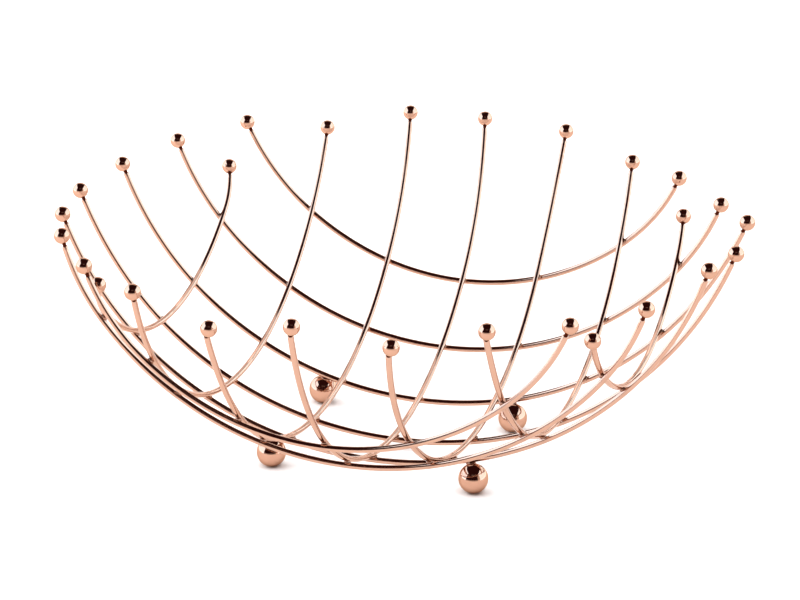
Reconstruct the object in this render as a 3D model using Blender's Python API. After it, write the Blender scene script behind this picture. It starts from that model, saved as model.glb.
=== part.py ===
"""Wire produce basket: a shallow round bowl of two welded wire layers on four ball feet.

Frame: the origin is on the surface that the basket stands on, under the middle of the bowl.
+Z is up, the front is -Y, and the inner layer's wires run from the back to the front.
Units are metres.
"""

import math

import bmesh
import bpy
from mathutils import Vector

OBJECT_NAME = "wire_produce_basket"
MM = 0.001

# Both layers lie on one sphere, the inner layer inside it and the outer layer outside it. The
# sphere is swelled a little halfway up, so the bowl has a flatter bottom and a steeper rim.
BOWL_RADIUS = 180 * MM
SWELL = 1.2 * MM
SWELL_TOP_ANGLE = math.radians(72)
WIRE_RADIUS = 1.5 * MM
TIP_BALL_RADIUS = 4 * MM
FOOT_BALL_RADIUS = 7.5 * MM

# Clearance where the real pieces are welded together.
GAP = 0.3 * MM

# Height of the tip balls' centres over the lowest point of the bowl's sphere.
RIM_HEIGHT = 118 * MM
LOW_RIM_HEIGHT = 102 * MM

# Where the vertical plane of each wire stands: wires 1 to 7 are numbered from the left on the
# inner layer and from the back on the outer layer, whose middle wire is 4 mm off centre.
INNER_PLANES_MM = (-123, -85, -42, 0, 41, 86, 124)
OUTER_PLANES_MM = (118, 81, 40, -4, -41, -83, -119)

# The outermost wires of the two layers pass clear of each other, and the arms of the outermost
# inner wires are shorter than the rest.
OUTERMOST_WIRES = (1, 7)

# Each free arm is as it was cut and bent by hand on the real basket: a little longer (+) or
# shorter (-) than the rim height asks for, and with its tip a little to the right (+) or left
# (-) of where a true arc would take it past its last weld.
ARM_EXTRA_MM = {
    "back": (-4, -6, 1, 0, -1, -8, -5),
    "front": (3, 1, -7, 3, -5, 2, 4),
    "left": (1, -1, -3, -4, -4, 1, 1),
    "right": (-7, -6, 1, 0, 4, -3, -1),
}
ARM_STRAY_MM = {
    "back": (-4, 0, -2, -3, 3, 0, -1),
    "front": (5, 1, -1, 1, 4, -1, 1),
    "left": (1, 1, 1, 0, 1, 4, 4),
    "right": (-4, -2, 1, 0, -2, -3, -4),
}

# Some balls are welded on beside the middle of their wire's end, this far to the right.
BALL_ASIDE_MM = {
    "inner_ball_3_front": 2,
    "inner_ball_4_front": 1,
    "inner_ball_5_front": 1.2,
    "inner_ball_6_front": 1,
}

# Each foot: the outer wire that it is welded under, how many mm to the right (+) or left (-) of
# the middle, and whether it leans away from the middle (1) or towards it (-1). It leans as far
# as brings the sphere's centre to its height over the surface that the basket stands on.
FEET = {
    "foot_front_left": (5, -50, 1),
    "foot_front_right": (5, 50, 1),
    "foot_back_left": (3, -51.5, 1),
    "foot_back_right": (3, 48.5, -1),
}
FOOT_FLAT_DEPTH = 0.3 * MM
SPHERE_HEIGHT = 186.1 * MM

WIRE_SEGMENTS = 30
WIRE_BEVEL_RESOLUTION = 2
TIP_BALL_FACES = (12, 8)
FOOT_BALL_FACES = (16, 12)

INNER_LAYER_RADIUS = BOWL_RADIUS - GAP / 2 - WIRE_RADIUS
OUTER_LAYER_RADIUS = BOWL_RADIUS + GAP / 2 + WIRE_RADIUS
FOOT_REACH = WIRE_RADIUS + GAP + FOOT_BALL_RADIUS
FOOT_CUT = FOOT_BALL_RADIUS - FOOT_FLAT_DEPTH
SPHERE_CENTRE = Vector((0, 0, SPHERE_HEIGHT))


def swell(point):
    """Move a point on the sphere, given from its centre, out to the swelled bowl."""
    polar = point.angle(Vector((0, 0, -1)))
    bulge = SWELL * math.sin(math.pi * min(polar / SWELL_TOP_ANGLE, 1)) ** 2
    return point + point.normalized() * bulge


def foot_place(wire_number, side_mm, leaning):
    """Centre of a foot that touches its wire and stands on the surface."""
    across = side_mm * MM
    plane = OUTER_PLANES_MM[wire_number - 1] * MM
    drop = math.sqrt(OUTER_LAYER_RADIUS**2 - across**2 - plane**2)
    weld = SPHERE_CENTRE + swell(Vector((across, plane, -drop)))
    straight_down = Vector((across, 0, -drop)).normalized() * FOOT_REACH
    lean = math.acos((weld.z - FOOT_CUT) / -straight_down.z)
    sideways = Vector((0, leaning * math.copysign(FOOT_REACH, plane), 0))
    return weld + straight_down * math.cos(lean) + sideways * math.sin(lean)


def clear_scene():
    for item in list(bpy.data.objects):
        bpy.data.objects.remove(item, do_unlink=True)


def plated_metal(name, colour, roughness):
    material = bpy.data.materials.new(name)
    material.use_nodes = True
    shader = material.node_tree.nodes["Principled BSDF"]
    shader.inputs["Base Color"].default_value = (*colour, 1)
    shader.inputs["Metallic"].default_value = 1
    shader.inputs["Roughness"].default_value = roughness
    return material


def add_object(name, data, material, collection):
    data.materials.clear()
    data.materials.append(material)
    item = bpy.data.objects.new(name, data)
    collection.objects.link(item)
    return item


def arc_angle(arc_radius, height):
    """Angle from the bottom of an arc to the given height over the bowl's lowest point."""
    return math.acos((BOWL_RADIUS - height) / arc_radius)


class Arm:
    """One upswept half of a wire, from the middle of the bowl to its tip ball."""

    def __init__(self, layer, side, number, plane, tip_height, last_weld):
        place = number - 1
        layer_radius = INNER_LAYER_RADIUS if layer == "inner" else OUTER_LAYER_RADIUS
        extra = ARM_EXTRA_MM[side][place] * MM
        self.layer = layer
        self.plane = plane
        self.direction = 1 if side in ("back", "right") else -1
        self.arc_radius = math.sqrt(layer_radius**2 - plane**2)
        self.tip_angle = arc_angle(self.arc_radius, tip_height) + extra / self.arc_radius
        self.weld_angle = math.asin(last_weld / self.arc_radius)
        self.stray = ARM_STRAY_MM[side][place] * MM

    def wire_end_angle(self):
        return self.tip_angle - (TIP_BALL_RADIUS + GAP) / self.arc_radius

    def point(self, angle):
        """The point of the wire's centre line at an angle from the bottom of its arc."""
        along = self.direction * self.arc_radius * math.sin(angle)
        down = -self.arc_radius * math.cos(angle)
        across = (self.plane, along) if self.layer == "inner" else (along, self.plane)
        free = max(0.0, angle - self.weld_angle) / (self.tip_angle - self.weld_angle)
        aside = Vector((self.stray * free**2, 0, 0))
        return SPHERE_CENTRE + swell(Vector((*across, down))) + aside


def arms_of(layer, number, plane):
    """The two arms of a wire: front and back on the inner layer, left and right on the outer."""
    inner = layer == "inner"
    outermost = number in OUTERMOST_WIRES
    sides = ("front", "back") if inner else ("left", "right")
    tip_height = LOW_RIM_HEIGHT if inner and outermost else RIM_HEIGHT
    crossed_planes_mm = sorted(map(abs, OUTER_PLANES_MM if inner else INNER_PLANES_MM))
    last_weld = crossed_planes_mm[-3 if outermost else -1] * MM
    return {side: Arm(layer, side, number, plane, tip_height, last_weld) for side in sides}


def wire_curve(name, first_arm, second_arm):
    """A round wire as one open line of short runs with closed ends."""
    curve = bpy.data.curves.new(name, "CURVE")
    curve.dimensions = "3D"
    curve.bevel_depth = WIRE_RADIUS
    curve.bevel_resolution = WIRE_BEVEL_RESOLUTION
    curve.use_fill_caps = True
    line = curve.splines.new("POLY")
    line.use_smooth = True
    line.points.add(WIRE_SEGMENTS)
    start = -first_arm.wire_end_angle()
    sweep = second_arm.wire_end_angle() - start
    for step, point in enumerate(line.points):
        angle = start + sweep * step / WIRE_SEGMENTS
        arm = second_arm if angle >= 0 else first_arm
        point.co = (*arm.point(abs(angle)), 1)
    return curve


def ball_mesh(name, radius, faces):
    body = bmesh.new()
    bmesh.ops.create_uvsphere(body, u_segments=faces[0], v_segments=faces[1], radius=radius)
    mesh = bpy.data.meshes.new(name)
    body.to_mesh(mesh)
    body.free()
    mesh.shade_smooth()
    return mesh


def foot_mesh():
    """A ball with a small flat ground on it where it stands."""
    mesh = ball_mesh("foot_ball", FOOT_BALL_RADIUS, FOOT_BALL_FACES)
    body = bmesh.new()
    body.from_mesh(mesh)
    everything = body.verts[:] + body.edges[:] + body.faces[:]
    cut = bmesh.ops.bisect_plane(body, geom=everything, plane_co=(0, 0, -FOOT_CUT),
                                 plane_no=(0, 0, -1), clear_outer=True)
    rim = [item for item in cut["geom_cut"] if isinstance(item, bmesh.types.BMEdge)]
    flat = bmesh.ops.contextual_create(body, geom=rim)["faces"][0]
    flat.smooth = False
    bmesh.ops.recalc_face_normals(body, faces=body.faces[:])
    body.to_mesh(mesh)
    body.free()
    return mesh


def add_layer(layer, planes_mm, finishes, tip_mesh, collection):
    """Seven wires and their fourteen tip balls."""
    for number, plane_mm in enumerate(planes_mm, start=1):
        arms = arms_of(layer, number, plane_mm * MM)
        curve = wire_curve(f"{layer}_wire_{number}", *arms.values())
        add_object(curve.name, curve, finishes["wire"], collection)
        for side, arm in arms.items():
            name = f"{layer}_ball_{number}_{side}"
            ball = add_object(name, tip_mesh, finishes["ball"], collection)
            aside = Vector((BALL_ASIDE_MM.get(name, 0) * MM, 0, 0))
            ball.location = arm.point(arm.tip_angle) + aside


def add_feet(material, collection):
    mesh = foot_mesh()
    for name, (wire_number, side_mm, leaning) in FEET.items():
        foot = add_object(name, mesh, material, collection)
        foot.location = foot_place(wire_number, side_mm, leaning)


def build():
    clear_scene()
    collection = bpy.data.collections.new(OBJECT_NAME)
    bpy.context.scene.collection.children.link(collection)
    finishes = {
        "wire": plated_metal("plated_wire", (0.90, 0.56, 0.42), 0.10),
        "ball": plated_metal("plated_ball", (0.91, 0.58, 0.44), 0.06),
        "foot": plated_metal("plated_foot", (0.89, 0.55, 0.41), 0.08),
    }
    tip_mesh = ball_mesh("tip_ball", TIP_BALL_RADIUS, TIP_BALL_FACES)
    add_layer("inner", INNER_PLANES_MM, finishes, tip_mesh, collection)
    add_layer("outer", OUTER_PLANES_MM, finishes, tip_mesh, collection)
    add_feet(finishes["foot"], collection)


build()
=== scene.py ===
"""The looks of the wire produce basket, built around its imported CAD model.

Every wire, tip ball and foot gets a finely meshed plated piece in its CAD node's place, and the
welds that hold them together are added. Units are metres.
"""

import math

import bmesh
import bpy
import numpy as np
from mathutils import Matrix, Quaternion, Vector, noise


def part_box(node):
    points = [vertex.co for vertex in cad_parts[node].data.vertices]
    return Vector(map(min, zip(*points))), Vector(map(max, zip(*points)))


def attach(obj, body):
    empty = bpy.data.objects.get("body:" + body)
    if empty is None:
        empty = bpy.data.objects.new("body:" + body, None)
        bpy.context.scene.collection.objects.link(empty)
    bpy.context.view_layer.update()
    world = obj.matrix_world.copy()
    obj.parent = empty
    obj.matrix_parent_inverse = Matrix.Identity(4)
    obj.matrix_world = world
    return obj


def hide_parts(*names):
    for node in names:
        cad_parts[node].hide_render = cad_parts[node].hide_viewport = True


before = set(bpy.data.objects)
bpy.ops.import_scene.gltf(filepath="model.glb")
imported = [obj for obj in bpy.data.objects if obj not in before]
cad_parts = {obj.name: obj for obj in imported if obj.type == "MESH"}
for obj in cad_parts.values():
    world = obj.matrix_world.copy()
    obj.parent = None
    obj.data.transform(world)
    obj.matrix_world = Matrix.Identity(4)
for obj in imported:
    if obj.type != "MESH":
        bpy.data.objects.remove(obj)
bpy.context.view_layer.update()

MM = 0.001
BODY = "root"

# The layers, each with the sides of its wires' two tip balls, and the outer wires with feet.
LAYERS = {"inner": ("front", "back"), "outer": ("left", "right")}
WIRES = range(1, 8)
FOOT_WIRES = {"back": 3, "front": 5}

# The camera's place and aim. Its azimuth and elevation say where it stands, seen from the basket.
CAMERA_PLACE = Vector((0.4262, -1.3769, 0.6260))
CAMERA_AZIMUTH = math.radians(17.172)
CAMERA_ELEVATION = math.radians(20.783)
CAMERA_ROLL = math.radians(0.3365)
CAMERA_LENS = 138.29
CAMERA_SENSOR = 36
CAMERA_NEAR = 0.05
CAMERA_FAR = 60

# Fineness of the meshes. No ring of points closes up altogether.
WIRE_SIDES = 24
WIRE_STEP = 2.0 * MM
BALL_SIDES = 48
BALL_RINGS = 32
NUGGET_SUBDIVISIONS = 3
LEAST_RADIUS = 1e-6

# CAD vertices that agree to this many decimals are one, and a CAD wire's rings of vertices are
# several degrees of arc apart.
SAME_PLACE_DECIMALS = 7
RING_BREAK = math.radians(1)

# A wire's line is cut to length in finer steps, and every fourth point of it is kept.
FINE_STEPS = 4

# A wire stops this far from the middle of its ball. The edge of its end is rounded off in a few
# steps, and the last of them keeps a trace of the rounding's radius.
BALL_TO_WIRE = 5.2 * MM
END_ROUND = 0.35 * MM
END_STEPS = 4
END_LEAST_SHRINK = 1e-3

# The narrow neck of weld between a wire and its ball: it flares towards both, and reaches a
# little way into the wire.
NECK_RADIUS = 0.9 * MM
NECK_FLARE = 1.25
NECK_STEPS = 6
NECK_OVERLAP = 0.2 * MM

# Wires whose middle lines pass closer than this are welded together.
WELD_REACH = 4.0 * MM

# Half sizes of the lumps of weld, along the wire, across it and up from it.
CROSSING_WELD = (1.75 * MM, 1.75 * MM, 0.85 * MM)
FOOT_WELD = (2.6 * MM, 1.9 * MM, 1.0 * MM)

# They are uneven by this share of their size. Each follows its own part of one soft noise, which
# lies these steps further on for each unit of its seed.
WELD_UNEVENNESS = 0.12
WELD_NOISE_SCALE = 1.7
WELD_NOISE_STEPS = (3.1, 7.7, 0)

# How far the heat of a weld, and the painted shade at the necks of the tip balls, darken the
# plating, and how strongly: 1 is darkest.
END_HEAT_REACH = 6.2 * MM
WELD_HEAT_REACH = 4 * MM
# The necks of the tip balls, and a thin band of each ball beside its neck, are painted near black:
# painted shade in the gap where wire meets ball, on top of weld heat tint.
BALL_SHADE_AND_HEAT_REACH = 0.35 * MM
WIRE_HEAT = 0.35
NUGGET_HEAT = 0.45
NECK_SHADE_AND_HEAT = 1.0

# Each plating's colour face on, its tint at grazing angles and its roughness.
FINISHES = {
    "wire": ((0.55, 0.32, 0.23), (0.88, 0.76, 0.69), 0.07),
    "ball": ((0.55, 0.305, 0.210), (0.75, 0.60, 0.50), 0.04),
    "foot": ((0.55, 0.300, 0.205), (0.75, 0.60, 0.50), 0.04),
}

# The plating's colour drifts between these shares of itself in soft clouds.
CLOUD_SCALE = 90
CLOUD_DETAIL = 3
CLOUD_SHARES = (0.96, 1.04)

# A fine grain varies its roughness between these shares, and roughens its surface very slightly.
GRAIN_SCALE = 900
GRAIN_DETAIL = 4
GRAIN_SHARES = (0.7, 1.3)
GRAIN_STRENGTH = 0.04
GRAIN_HEIGHT = 0.0002

# What full darkening leaves of the plating's red, green and blue, and the roughness it adds. Welds
# tint the plating partway with heat; the necks of the tip balls get the full darkening, as painted
# shade and heat tint.
HEAT_AND_SHADE_SHARES = (0.11, 0.03, 0.02)
HEAT_ROUGHNESS = 0.25

# The studio's floor: a round one whose rim curves up into a low wall.
FLOOR_RADIUS = 6.0
FLOOR_WALL = 0.8
FLOOR_BEND = 0.4
FLOOR_BEND_STEPS = 8
FLOOR_SIDES = 96
FLOOR_FLAT_RINGS = (1e-4, 1.0, 3.0)
FLOOR_WHITE = 0.85

# The dark warm surroundings, which show only as reflections in the metal.
SURROUNDINGS = (0.035, 0.010, 0.010)

# A softbox's two lights stand this far apart, so that neither hides the other.
LIGHT_SPACING = 0.02

# Ways that a softbox faces, as the camera looks at the basket.
RIGHT = (1, 0, 0)
LEFT = (-1, 0, 0)
FORWARD = (0, -1, 0)
DOWN = (0, 0, -1)
BACK_AND_DOWN = (0, 1, -1)


# ---------------------------------------------------------------- the CAD model's places

def node_points(node):
    """The different vertices of a CAD node, one row each."""
    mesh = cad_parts[node].data
    points = np.zeros(3 * len(mesh.vertices))
    mesh.vertices.foreach_get("co", points)
    return np.unique(points.reshape(-1, 3).round(SAME_PLACE_DECIMALS), axis=0)


def ring_centres(points, along):
    """The middle of each ring of a CAD wire's vertices, from the low to the high end of an axis."""
    run, rise = points[:, along], points[:, 2]
    system = np.column_stack((2 * run, 2 * rise, np.ones_like(run)))
    centre = np.linalg.lstsq(system, run**2 + rise**2, rcond=None)[0]
    angles = np.arctan2(run - centre[0], centre[1] - rise)
    order = np.argsort(angles)
    breaks = np.flatnonzero(np.diff(angles[order]) > RING_BREAK) + 1
    return [ring.mean(axis=0) for ring in np.split(points[order], breaks)]


def ball_place(node):
    """Centre and radius of a CAD ball, whose top is whole even where its foot is ground flat."""
    low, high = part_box(node)
    radius = (high.x - low.x) / 2
    return Vector(((low.x + high.x) / 2, (low.y + high.y) / 2, high.z - radius)), radius


def smooth_line(knots, step):
    """Points about a step apart on the smooth line through the knots."""
    knots = np.asarray(knots, float)
    runs = np.linalg.norm(np.diff(knots, axis=0), axis=1)
    places = np.concatenate(([0.0], np.cumsum(runs)))
    slopes = np.gradient(knots, places, axis=0, edge_order=2)
    wanted = np.linspace(0, places[-1], int(places[-1] / step) + 1)
    first = np.clip(np.searchsorted(places, wanted, side="right") - 1, 0, len(runs) - 1)
    run = runs[first][:, None]
    t = (wanted - places[first])[:, None] / run
    return ((2 * t**3 - 3 * t**2 + 1) * knots[first] + (t**3 - 2 * t**2 + t) * run * slopes[first]
            + (3 * t**2 - 2 * t**3) * knots[first + 1] + (t**3 - t**2) * run * slopes[first + 1])


def thinned(points, stride):
    """One point in every stride, and always the first and the last."""
    return points[sorted({*range(0, len(points), stride), len(points) - 1})]


def closest_points(line_a, line_b):
    """Indices of the closest points of two lines, and their distance."""
    apart = np.linalg.norm(line_a[:, None] - line_b[None], axis=2)
    index_a, index_b = np.unravel_index(apart.argmin(), apart.shape)
    return index_a, index_b, apart[index_a, index_b]


class Wire:
    """One wire: its middle line with the directions along it, and the welds that heated it."""

    def __init__(self, layer, number):
        self.node = f"{layer}_wire_{number}"
        self.ball_nodes = [f"{layer}_ball_{number}_{side}" for side in LAYERS[layer]]
        self.across = Vector((1, 0, 0)) if layer == "inner" else Vector((0, 1, 0))
        points = node_points(self.node)
        rings = ring_centres(points, along=1 if layer == "inner" else 0)
        self.radius = np.linalg.norm(points - rings[0], axis=1).min()

        ball_centres = [np.array(ball_place(node)[0]) for node in self.ball_nodes]
        whole = smooth_line(rings, WIRE_STEP / FINE_STEPS)
        for centre in ball_centres:
            whole = whole[np.linalg.norm(whole - centre, axis=1) > BALL_TO_WIRE]
        self.line = smooth_line(thinned(whole, FINE_STEPS), WIRE_STEP)
        self.directions = np.gradient(self.line, axis=0)
        self.directions /= np.linalg.norm(self.directions, axis=1)[:, None]
        self.welds = [(centre, END_HEAT_REACH) for centre in ball_centres]


# ---------------------------------------------------------------- materials

def add_node(tree, kind, **settings):
    node = tree.nodes.new(kind)
    for name, value in settings.items():
        setattr(node, name, value)
    return node


def add_noise(tree, coordinates, scale, detail):
    texture = add_node(tree, "ShaderNodeTexNoise")
    texture.inputs["Scale"].default_value = scale
    texture.inputs["Detail"].default_value = detail
    tree.links.new(coordinates.outputs["Object"], texture.inputs["Vector"])
    return texture


def plated_copper(name, colour, edge_tint, roughness):
    """Bright rose-gold plating, duller and darker where a weld has heated it, and near black at the
    necks of the tip balls, where painted shade adds to the heat tint.
    """
    material = bpy.data.materials.new(name)
    material.use_nodes = True
    tree = material.node_tree
    shader = tree.nodes["Principled BSDF"]
    shader.inputs["Metallic"].default_value = 1.0
    shader.inputs["Specular Tint"].default_value = (*edge_tint, 1)

    coordinates = add_node(tree, "ShaderNodeTexCoord")
    # The darkening attribute: weld heat tint, and painted shade at the necks of the tip balls.
    heat_and_shade = add_node(tree, "ShaderNodeAttribute", attribute_name="weld_heat_and_neck_shade")

    cloud = add_noise(tree, coordinates, CLOUD_SCALE, CLOUD_DETAIL)
    plate = add_node(tree, "ShaderNodeMix", data_type="RGBA")
    plate.inputs["A"].default_value = (*[CLOUD_SHARES[0] * c for c in colour], 1)
    plate.inputs["B"].default_value = (*[CLOUD_SHARES[1] * c for c in colour], 1)
    tree.links.new(cloud.outputs["Fac"], plate.inputs["Factor"])

    tinted = add_node(tree, "ShaderNodeMix", data_type="RGBA")
    full_heat_and_shade = [share * c for share, c in zip(HEAT_AND_SHADE_SHARES, colour)]
    tinted.inputs["B"].default_value = (*full_heat_and_shade, 1)
    tree.links.new(heat_and_shade.outputs["Fac"], tinted.inputs["Factor"])
    tree.links.new(plate.outputs["Result"], tinted.inputs["A"])
    tree.links.new(tinted.outputs["Result"], shader.inputs["Base Color"])

    grain = add_noise(tree, coordinates, GRAIN_SCALE, GRAIN_DETAIL)
    sheen = add_node(tree, "ShaderNodeMapRange")
    sheen.inputs["To Min"].default_value = GRAIN_SHARES[0] * roughness
    sheen.inputs["To Max"].default_value = GRAIN_SHARES[1] * roughness
    tree.links.new(grain.outputs["Fac"], sheen.inputs["Value"])

    dulled = add_node(tree, "ShaderNodeMath", operation="MULTIPLY_ADD")
    dulled.inputs[1].default_value = HEAT_ROUGHNESS
    tree.links.new(heat_and_shade.outputs["Fac"], dulled.inputs[0])
    tree.links.new(sheen.outputs["Result"], dulled.inputs[2])
    tree.links.new(dulled.outputs["Value"], shader.inputs["Roughness"])

    bump = add_node(tree, "ShaderNodeBump")
    bump.inputs["Strength"].default_value = GRAIN_STRENGTH
    bump.inputs["Distance"].default_value = GRAIN_HEIGHT
    tree.links.new(grain.outputs["Fac"], bump.inputs["Height"])
    tree.links.new(bump.outputs["Normal"], shader.inputs["Normal"])
    return material


def matt_white(name, value):
    material = bpy.data.materials.new(name)
    material.use_nodes = True
    shader = material.node_tree.nodes["Principled BSDF"]
    shader.inputs["Base Color"].default_value = (value, value, value, 1)
    shader.inputs["Roughness"].default_value = 1.0
    shader.inputs["Specular IOR Level"].default_value = 0.0
    return material


# ---------------------------------------------------------------- meshes

def smooth_object(name, points, faces, material):
    mesh = bpy.data.meshes.new(name)
    mesh.from_pydata([tuple(point) for point in points], [], faces)
    mesh.materials.append(material)
    mesh.shade_smooth()
    mesh.validate()
    item = bpy.data.objects.new(name, mesh)
    bpy.context.scene.collection.objects.link(item)
    return item


def add_piece(name, points, heat_and_shade_values, faces, material, slot, *nodes):
    """A piece of the basket that stands for its CAD nodes, with the darkening at each point: weld
    heat tint, and painted shade at the necks of the tip balls.
    """
    piece = smooth_object(name, points, faces, material)
    attribute = piece.data.attributes.new("weld_heat_and_neck_shade", "FLOAT", "POINT")
    attribute.data.foreach_set("value", np.asarray(heat_and_shade_values, np.float32))
    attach(piece, BODY)
    if nodes:
        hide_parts(*nodes)


def band_faces(rings, sides):
    """Faces between rings of points, with both ends closed."""
    faces = []
    for ring in range(rings - 1):
        for side in range(sides):
            beside = (side + 1) % sides
            low, high = ring * sides, (ring + 1) * sides
            faces.append((low + side, low + beside, high + beside, high + side))
    faces.append(tuple(reversed(range(sides))))
    faces.append(tuple(range((rings - 1) * sides, rings * sides)))
    return faces


def turned_points(profile, sides):
    """Rings of points about Z from a profile of radii and heights."""
    return [
        Vector((radius * math.cos(turn), radius * math.sin(turn), height))
        for radius, height in profile
        for turn in (2 * math.pi * step / sides for step in range(sides))
    ]


def ball_profile(radius, first_angle, last_angle):
    """A ball's radii and heights between two angles from its top."""
    profile = []
    for ring in range(BALL_RINGS + 1):
        angle = first_angle + (last_angle - first_angle) * ring / BALL_RINGS
        profile.append((max(radius * math.sin(angle), LEAST_RADIUS), radius * math.cos(angle)))
    return profile


def end_rings(place, direction, radius, sense):
    """Places, directions and radii of a wire's rounded end, from the wire outwards."""
    rings = []
    for step in range(1, END_STEPS + 1):
        turn = math.pi / 2 * step / END_STEPS
        shrink = max(math.cos(turn), END_LEAST_SHRINK)
        rings.append((place + sense * direction * END_ROUND * math.sin(turn), direction,
                      radius - END_ROUND + END_ROUND * shrink))
    return rings


def add_wire(wire, material):
    """The round wire, its two ends rounded off just short of its balls."""
    rings = [(place, direction, wire.radius)
             for place, direction in zip(wire.line, wire.directions)]
    rings = [*reversed(end_rings(*rings[0], -1)), *rings, *end_rings(*rings[-1], 1)]
    points, heat_and_shade_values = [], []
    for place, direction, radius in rings:
        along = Vector(direction)
        side = (wire.across - wire.across.dot(along) * along).normalized()
        up = along.cross(side)
        nearest = min(np.linalg.norm(place - weld) / reach for weld, reach in wire.welds)
        heat_and_shade_values += [WIRE_HEAT * max(0.0, 1 - nearest) ** 2] * WIRE_SIDES
        for step in range(WIRE_SIDES):
            turn = 2 * math.pi * step / WIRE_SIDES
            points.append(Vector(place) + (side * math.cos(turn) + up * math.sin(turn)) * radius)
    faces = band_faces(len(rings), WIRE_SIDES)
    add_piece(f"{wire.node}_plated", points, heat_and_shade_values, faces, material, "wire", wire.node)


def add_tip_ball(node, wire_end, material):
    """A tip ball, and the narrow neck of weld between it and the end of its wire, painted near
    black: painted shade where wire meets ball, on top of weld heat tint.
    """
    centre, radius = ball_place(node)
    profile = ball_profile(radius, math.pi, math.asin(NECK_FLARE * NECK_RADIUS / radius))
    neck_start_radius, neck_start = profile[-1]
    # Painted shade: the neck and a thin band of the ball beside it are darkened to near black, as
    # well as tinted by weld heat.
    heat_and_shade_values = [NECK_SHADE_AND_HEAT * max(0.0, 1 - (neck_start - height) / BALL_SHADE_AND_HEAT_REACH)
             for _, height in profile]

    neck_length = (wire_end - centre).length + NECK_OVERLAP - neck_start
    for step in range(1, NECK_STEPS + 1):
        share = step / NECK_STEPS
        flare = (2 * share - 1) ** 2 * (neck_start_radius - NECK_RADIUS)
        profile.append((NECK_RADIUS + flare, neck_start + neck_length * share))
        heat_and_shade_values.append(NECK_SHADE_AND_HEAT)

    turn = (wire_end - centre).normalized().to_track_quat("Z", "Y").to_matrix()
    points = [centre + turn @ point for point in turned_points(profile, BALL_SIDES)]
    faces = band_faces(len(profile), BALL_SIDES)
    add_piece(f"{node}_plated", points, np.repeat(heat_and_shade_values, BALL_SIDES), faces, material,
              "tip_ball", node)


def add_foot(node, material):
    """A foot ball with a small flat ground on its underside."""
    centre, radius = ball_place(node)
    low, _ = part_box(node)
    flat_drop = centre.z - low.z
    flat_angle = math.pi - math.acos(flat_drop / radius)
    profile = [(LEAST_RADIUS, -flat_drop), *ball_profile(radius, flat_angle, 0)]
    points = [centre + point for point in turned_points(profile, BALL_SIDES)]
    faces = band_faces(len(profile), BALL_SIDES)
    add_piece(f"{node}_plated", points, np.zeros(len(points)), faces, material, "foot", node)


# ---------------------------------------------------------------- welds

def weld_axes(along, up):
    """Axes of a weld: as near along the wire as can be, across it, and up from it."""
    first = (along - along.dot(up) * up).normalized()
    return first, up.cross(first), up


def nugget_points(centre, axes, sizes, seed):
    """Points and faces of a lump of weld metal: an uneven ellipsoid."""
    body = bmesh.new()
    bmesh.ops.create_icosphere(body, subdivisions=NUGGET_SUBDIVISIONS, radius=1)
    to_world = Matrix(axes).transposed()
    shift = Vector([seed * step for step in WELD_NOISE_STEPS])
    points = []
    for vertex in body.verts:
        swell = 1 + WELD_UNEVENNESS * noise.noise(vertex.co * WELD_NOISE_SCALE + shift)
        scaled = Vector(c * s for c, s in zip(vertex.co * swell, sizes))
        points.append(centre + to_world @ scaled)
    faces = [tuple(vertex.index for vertex in face.verts) for face in body.faces]
    body.free()
    return points, faces


def add_nuggets(name, nuggets, material, slot):
    """One piece of all the given lumps of weld metal."""
    points, faces = [], []
    for nugget in nuggets:
        more_points, more_faces = nugget_points(*nugget)
        start = len(points)
        points += more_points
        faces += [tuple(start + index for index in face) for face in more_faces]
    add_piece(name, points, [NUGGET_HEAT] * len(points), faces, material, slot)


def weld_crossings(wires, material):
    """The welds where inner wires cross outer ones, one piece for each outer wire."""
    for outer_number in WIRES:
        outer = wires["outer", outer_number]
        nuggets = []
        for inner_number in WIRES:
            inner = wires["inner", inner_number]
            on_inner, on_outer, apart = closest_points(inner.line, outer.line)
            if apart > WELD_REACH:
                continue
            place = (inner.line[on_inner] + outer.line[on_outer]) / 2
            up = Vector(inner.line[on_inner] - outer.line[on_outer]).normalized()
            axes = weld_axes(Vector(inner.directions[on_inner]), up)
            seed = 10 * outer_number + inner_number
            nuggets.append((Vector(place), axes, CROSSING_WELD, seed))
            inner.welds.append((place, WELD_HEAT_REACH))
            outer.welds.append((place, WELD_HEAT_REACH))
        add_nuggets(f"welds_on_outer_wire_{outer_number}", nuggets, material, "wire")


def add_welded_foot(node, wire, seed, material):
    """A foot, and the weld on top of it that holds it under its wire."""
    add_foot(node, material)
    centre, radius = ball_place(node)
    nearest = np.linalg.norm(wire.line - np.array(centre), axis=1).argmin()
    up = (Vector(wire.line[nearest]) - centre).normalized()
    place = centre + up * radius
    axes = weld_axes(Vector(wire.directions[nearest]), up)
    add_nuggets(f"weld_on_{node}", [(place, axes, FOOT_WELD, seed)], material, "foot")
    wire.welds.append((np.array(place), WELD_HEAT_REACH))


# ---------------------------------------------------------------- the basket

def build_basket():
    """All the pieces. The wires come last, when all the welds that heated them are known."""
    finishes = {part: plated_copper(f"rose_gold_{part}", *finish)
                for part, finish in FINISHES.items()}
    wires = {(layer, number): Wire(layer, number) for layer in LAYERS for number in WIRES}
    weld_crossings(wires, finishes["wire"])
    for depth, number in FOOT_WIRES.items():
        for side in ("left", "right"):
            add_welded_foot(f"foot_{depth}_{side}", wires["outer", number], number,
                            finishes["foot"])
    for wire in wires.values():
        add_wire(wire, finishes["wire"])
        for node, wire_end in zip(wire.ball_nodes, (wire.line[0], wire.line[-1])):
            add_tip_ball(node, Vector(wire_end), finishes["ball"])


# ---------------------------------------------------------------- studio

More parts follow.
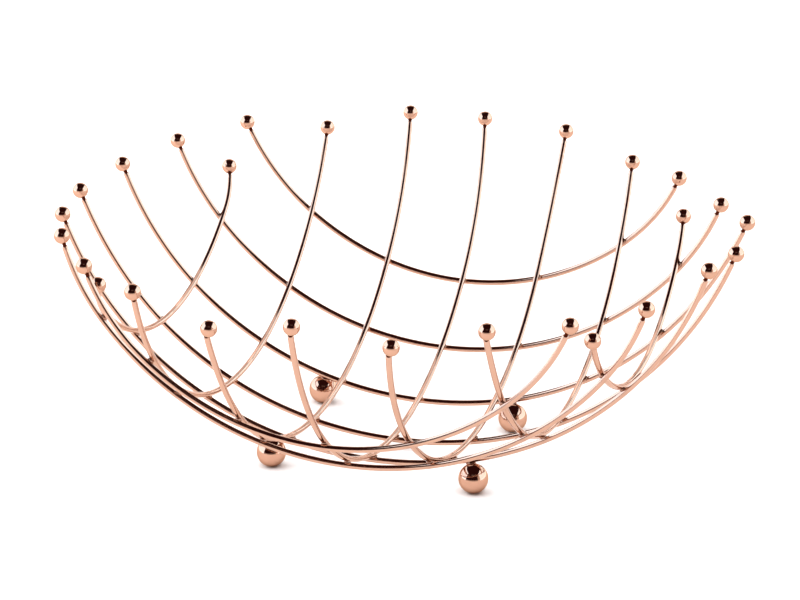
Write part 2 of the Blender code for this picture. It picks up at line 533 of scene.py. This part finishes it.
def add_camera():
    camera = bpy.data.objects.new("camera", bpy.data.cameras.new("camera"))
    bpy.context.scene.collection.objects.link(camera)
    level = math.cos(CAMERA_ELEVATION)
    back = Vector((
        math.sin(CAMERA_AZIMUTH) * level,
        -math.cos(CAMERA_AZIMUTH) * level,
        math.sin(CAMERA_ELEVATION),
    ))
    camera.location = CAMERA_PLACE
    camera.rotation_mode = "QUATERNION"
    aim = (-back).to_track_quat("-Z", "Y")
    camera.rotation_quaternion = aim @ Quaternion((0, 0, 1), CAMERA_ROLL)
    camera.data.sensor_width = CAMERA_SENSOR
    camera.data.lens = CAMERA_LENS
    camera.data.clip_start = CAMERA_NEAR
    camera.data.clip_end = CAMERA_FAR
    bpy.context.scene.camera = camera


def add_softbox(name, place, facing, width, height, reflected=None, lighting=None, only_on=None):
    """A soft rectangular light, placed to the right, back and up as the camera sees the basket.

    Polished metal shows the reflected colour, and all else is lit in white. It shines on
    everything, or only on the pieces of one collection.
    """
    turn = Matrix.Rotation(CAMERA_AZIMUTH, 3, "Z")
    facing = Vector(facing).normalized()
    white = (lighting,) * 3 if lighting else None
    for use, radiance, setback in (("reflected", reflected, 0), ("lighting", white, LIGHT_SPACING)):
        if not radiance:
            continue
        light = bpy.data.lights.new(f"{name}_{use}", "AREA")
        light.shape = "RECTANGLE"
        light.size = width
        light.size_y = height
        light.color = [value / max(radiance) for value in radiance]
        light.energy = max(radiance) * math.pi * width * height
        lamp = bpy.data.objects.new(light.name, light)
        bpy.context.scene.collection.objects.link(lamp)
        lamp.location = turn @ (Vector(place) - facing * setback)
        lamp.rotation_mode = "QUATERNION"
        lamp.rotation_quaternion = (turn @ facing).to_track_quat("-Z", "Y")
        lamp.visible_camera = False
        lamp.visible_glossy = use == "reflected"
        lamp.visible_diffuse = use == "lighting"
        if only_on:
            lamp.light_linking.receiver_collection = only_on


def add_floor():
    profile = [(radius, 0.0) for radius in FLOOR_FLAT_RINGS]
    for step in range(FLOOR_BEND_STEPS + 1):
        turn = math.pi / 2 * step / FLOOR_BEND_STEPS
        profile.append((FLOOR_RADIUS - FLOOR_BEND + FLOOR_BEND * math.sin(turn),
                        FLOOR_BEND - FLOOR_BEND * math.cos(turn)))
    profile.append((FLOOR_RADIUS, FLOOR_WALL))
    points = turned_points(profile, FLOOR_SIDES)
    open_faces = band_faces(len(profile), FLOOR_SIDES)[:-1]
    white = matt_white("studio_white", FLOOR_WHITE)
    floor = smooth_object("studio_floor", points, open_faces, white)


def inner_wire_pieces():
    """A collection of the inner layer's wires, for a light that shines on nothing else."""
    pieces = bpy.data.collections.new("inner_wires")
    for number in WIRES:
        pieces.objects.link(bpy.data.objects[f"inner_wire_{number}_plated"])
    return pieces


def add_studio():
    world = bpy.data.worlds.new("studio")
    bpy.context.scene.world = world
    world.use_nodes = True
    background = world.node_tree.nodes["Background"]
    background.inputs["Color"].default_value = (*SURROUNDINGS, 1)
    background.inputs["Strength"].default_value = 1.0
    add_floor()
    add_softbox("softbox_left", place=(-1.4, 1.0, 0.87), facing=RIGHT, width=3.7, height=1.7,
                reflected=(2.1, 2.9, 3.7), lighting=3.4)
    add_softbox("softbox_right", place=(1.4, 0.85, 0.87), facing=LEFT, width=3.9, height=1.7,
                reflected=(1.95, 2.7, 3.2), lighting=0.5)
    add_softbox("softbox_right_front", place=(1.4, -1.57, 0.7), facing=LEFT, width=0.9,
                height=1.4, reflected=(0.84, 0.78, 0.72), lighting=0.15)
    add_softbox("backdrop", place=(0, 2.8, 1.27), facing=FORWARD, width=2.2, height=2.5,
                reflected=(1.3, 1.35, 1.4), lighting=0.8)
    add_softbox("panel_over_bowl", place=(0.3, 2.35, 2.6), facing=DOWN, width=2.6, height=2.3,
                reflected=(1.45, 1.5, 1.55), only_on=inner_wire_pieces())
    add_softbox("strip_front", place=(0, -1.41, 1.45), facing=BACK_AND_DOWN, width=1.0,
                height=0.07, reflected=(0.7, 0.7, 0.7))
    add_softbox("ceiling_fill", place=(0, 0, 3.2), facing=DOWN, width=6.0, height=6.0,
                lighting=2.65)


def set_colours():
    settings = bpy.context.scene.view_settings
    settings.view_transform = "Standard"
    settings.look = "None"


build_basket()
add_studio()
add_camera()
set_colours()
